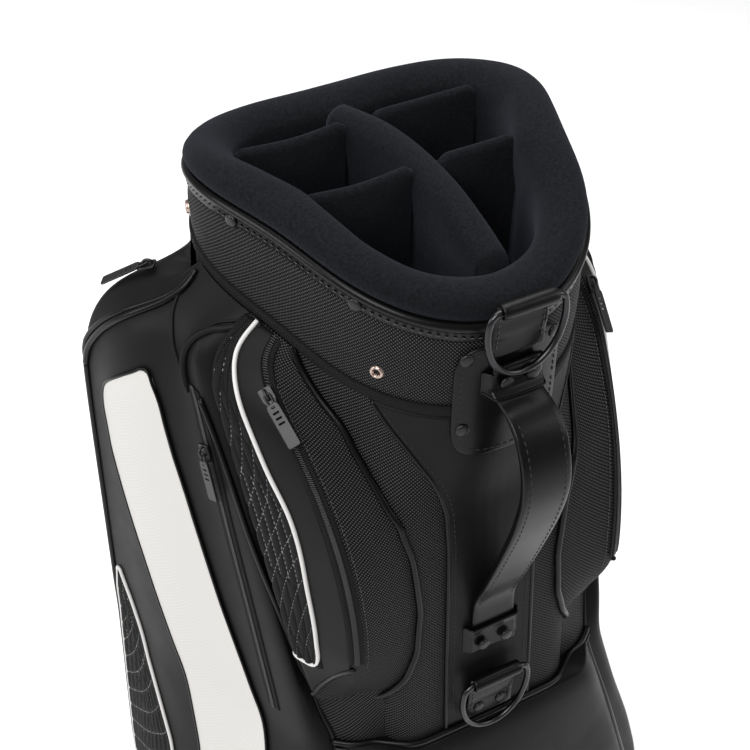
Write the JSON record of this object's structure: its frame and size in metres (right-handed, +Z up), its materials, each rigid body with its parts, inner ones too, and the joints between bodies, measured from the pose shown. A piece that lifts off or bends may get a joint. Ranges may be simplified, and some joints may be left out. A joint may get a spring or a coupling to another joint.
{
  "type": "golf staff bag",
  "caption": "Upright golf staff bag with a padded velour cuff, divided club wells, quilted side pockets, zip sliders, a bowed carry handle and swinging strap rings.",
  "frame": {"origin": "on the floor under the middle of the club tube", "axes": "+Z up out of the club wells, -Y the spine side with the carry handle, +Y the ball pocket side"},
  "size_m": [0.4794, 0.4393, 0.889],
  "materials": {
    "black_leather": "fine grain, satin",
    "ballistic_nylon": "coarse ribbed weave, matte",
    "velour": "plush pile, matte",
    "white_leather": "smooth, satin",
    "moulded_plastic": "fine texture",
    "zip_coil": "small woven coil",
    "dark_metal": "dark plated, polished",
    "snap_metal": "polished, warm nickel"
  },
  "bodies": {
    "bag": {"rim_binding": "black_leather", "spine_panel": "black_leather", "spine_patch": "black_leather", "carry_handle": "black_leather", "handle_keeper_top": "black_leather", "handle_keeper_bottom": "black_leather", "upper_ring_loop": "black_leather", "lower_ring_loop": "black_leather", "garment_pocket_left": "black_leather", "garment_pocket_right": "black_leather", "back_pocket": "black_leather", "ball_pocket": "black_leather", "body_cover": "ballistic_nylon", "cuff_hem": "ballistic_nylon", "cuff_band": "ballistic_nylon", "chest_pocket": "ballistic_nylon", "accessory_pocket_left": "ballistic_nylon", "accessory_pocket_right": "ballistic_nylon", "side_panel_left": "ballistic_nylon", "side_panel_right": "ballistic_nylon", "velour_collar": "velour", "centre_divider": "velour", "cross_divider_front_left": "velour", "cross_divider_front_right": "velour", "cross_divider_rear_left": "velour", "cross_divider_rear_right": "velour", "white_panel_left": "white_leather", "white_panel_right": "white_leather", "club_tube": "moulded_plastic", "base_pan": "moulded_plastic", "zip_track_garment_left": "zip_coil", "zip_track_accessory_left": "zip_coil", "zip_track_accessory_right": "zip_coil", "patch_rivet_high_left": "dark_metal", "patch_rivet_high_right": "dark_metal", "patch_rivet_low_left": "dark_metal", "patch_rivet_low_right": "dark_metal", "handle_rivet_top_left": "dark_metal", "handle_rivet_top_right": "dark_metal", "handle_rivet_bottom_left": "dark_metal", "handle_rivet_bottom_right": "dark_metal", "ring_loop_rivet_left": "dark_metal", "ring_loop_rivet_right": "dark_metal", "rim_rivet_rear": "dark_metal", "rim_rivet_side": "dark_metal", "hood_stud_rear": "snap_metal", "hood_stud_side": "snap_metal"},
    "slider_garment_left": {"zip_slider_garment_left": "dark_metal"},
    "puller_garment_left": {"zip_puller_garment_left": "dark_metal"},
    "slider_accessory_left": {"zip_slider_accessory_left": "dark_metal"},
    "puller_accessory_left": {"zip_puller_accessory_left": "dark_metal"},
    "slider_accessory_right": {"zip_slider_accessory_right": "dark_metal"},
    "puller_accessory_right": {"zip_puller_accessory_right": "dark_metal"},
    "slider_shoulder_left": {"zip_slider_shoulder_left": "dark_metal"},
    "puller_shoulder_left": {"zip_puller_shoulder_left": "dark_metal"},
    "slider_ball_pocket": {"zip_slider_ball_pocket": "dark_metal"},
    "puller_ball_pocket": {"zip_puller_ball_pocket": "dark_metal"},
    "upper_ring": {"upper_ring": "dark_metal"},
    "lower_ring": {"lower_ring": "dark_metal"}
  },
  "joints": [
    {"name": "upper_ring_swing", "type": "hinge", "parent": "bag", "child": "upper_ring", "pos_m": [0, -0.1762, 0.848], "axis": [-1, 0, 0], "range_deg": [-3, 160]},
    {"name": "lower_ring_swing", "type": "hinge", "parent": "bag", "child": "lower_ring", "pos_m": [0, -0.1815, 0.456], "axis": [-1, 0, 0], "range_deg": [-1, 160]},
    {"name": "garment_zip_slide", "type": "slide", "parent": "bag", "child": "slider_garment_left", "axis": [0.0557, -0.2779, -0.959], "range_m": [-0.034, 0.232]},
    {"name": "puller_garment_left", "type": "hinge", "parent": "slider_garment_left", "child": "puller_garment_left", "pos_m": [-0.18667, -0.02044, 0.66382], "axis": [-0.2695, 0.9206, -0.2825], "range_deg": [0, 150]},
    {"name": "accessory_zip_left", "type": "hinge", "parent": "bag", "child": "slider_accessory_left", "pos_m": [-0.17744, 0.1033, 0.521], "axis": [0.9827, 0.1849, 0], "range_deg": [-1, 48]},
    {"name": "puller_accessory_left", "type": "hinge", "parent": "slider_accessory_left", "child": "puller_accessory_left", "pos_m": [-0.14943, -0.0636, 0.74082], "axis": [-0.8533, 0.2166, -0.4742], "range_deg": [0, 150]},
    {"name": "accessory_zip_right", "type": "hinge", "parent": "bag", "child": "slider_accessory_right", "pos_m": [0.17744, 0.1033, 0.521], "axis": [0.9827, -0.1849, 0], "range_deg": [-1, 48]},
    {"name": "puller_accessory_right", "type": "hinge", "parent": "slider_accessory_right", "child": "puller_accessory_right", "pos_m": [0.14943, -0.0636, 0.74082], "axis": [-0.8533, -0.2166, 0.4742], "range_deg": [0, 150]},
    {"name": "shoulder_zip_left", "type": "hinge", "parent": "bag", "child": "slider_shoulder_left", "pos_m": [-0.15, 0.078, 0.672], "axis": [-0.5809, -0.8139, 0], "range_deg": [-12, 66]},
    {"name": "puller_shoulder_left", "type": "hinge", "parent": "slider_shoulder_left", "child": "puller_shoulder_left", "pos_m": [-0.17421, 0.09528, 0.77001], "axis": [0.5809, 0.8139, 0], "range_deg": [0, 150]},
    {"name": "ball_zip_slide", "type": "slide", "parent": "bag", "child": "slider_ball_pocket", "axis": [0, 0, -1], "range_m": [-0.005, 0.23]},
    {"name": "puller_ball_pocket", "type": "hinge", "parent": "slider_ball_pocket", "child": "puller_ball_pocket", "pos_m": [0.1007, 0.21793, 0.36], "axis": [0.994, -0.1093, 0], "range_deg": [0, 150]}
  ]
}
